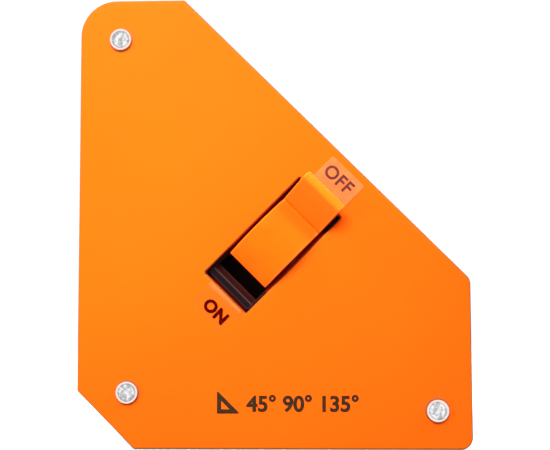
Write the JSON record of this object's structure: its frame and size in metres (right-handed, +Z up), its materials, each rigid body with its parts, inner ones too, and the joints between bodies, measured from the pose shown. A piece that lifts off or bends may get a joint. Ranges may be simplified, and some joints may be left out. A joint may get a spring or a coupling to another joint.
{
  "type": "magnetic welding square",
  "caption": "Switchable magnetic welding square that holds steel at 45, 90 or 135 degrees along its straight edges and is released by a rocker lever.",
  "frame": {"origin": "middle of the bottom working face", "axes": "+Z up, towards the top edge; +X right, towards the short right edge; -Y out of the front plate, towards the lever"},
  "size_m": [0.096, 0.0321, 0.111],
  "materials": {
    "powder_orange": "smooth semi-gloss orange powder coat on steel sheet",
    "plastic_orange": "moulded orange plastic with a soft sheen",
    "black_nylon": "moulded matt black nylon",
    "cast_aluminium": "die-cast aluminium with milled working faces",
    "bright_steel": "zinc-plated bright steel",
    "plain_steel": "plain ground steel, lightly oiled",
    "nickel": "nickel-plated sintered magnet",
    "brass": "plain brass",
    "bronze": "oil-filled sintered bronze",
    "clear_film": "thin see-through label film over orange paint",
    "print_ink": "dark screen-printed ink on the paint and the labels"
  },
  "bodies": {
    "square": {"front_plate": "powder_orange", "back_plate": "powder_orange", "edge_frame": "cast_aluminium", "post_top": "plain_steel", "post_corner": "plain_steel", "post_right": "plain_steel", "rivet_top": "bright_steel", "rivet_corner": "bright_steel", "rivet_right": "bright_steel", "switch_housing": "black_nylon", "bearing_block_upper": "cast_aluminium", "bearing_block_lower": "cast_aluminium", "shaft_bush_upper": "bronze", "shaft_bush_lower": "bronze", "front_pole_upper": "plain_steel", "back_pole_upper": "plain_steel", "front_pole_lower": "plain_steel", "back_pole_lower": "plain_steel", "divider_upper_off_side": "brass", "divider_upper_on_side": "brass", "divider_lower_off_side": "brass", "divider_lower_on_side": "brass", "off_label": "clear_film", "on_label": "clear_film"},
    "rotor": {"switch_lever": "plastic_orange", "cross_pin": "bright_steel", "rotor_shaft": "plain_steel", "magnet_upper": "nickel", "magnet_lower": "nickel", "thrust_washer_upper": "brass", "thrust_washer_lower": "brass", "shaft_clip_upper": "bright_steel", "shaft_clip_lower": "bright_steel"}
  },
  "joints": [
    {"name": "switch_turn", "type": "hinge", "parent": "square", "child": "rotor", "pos_m": [0.0005, 0, 0.05], "axis": [0.7071, 0, -0.7071], "range_deg": [0, 90]}
  ]
}
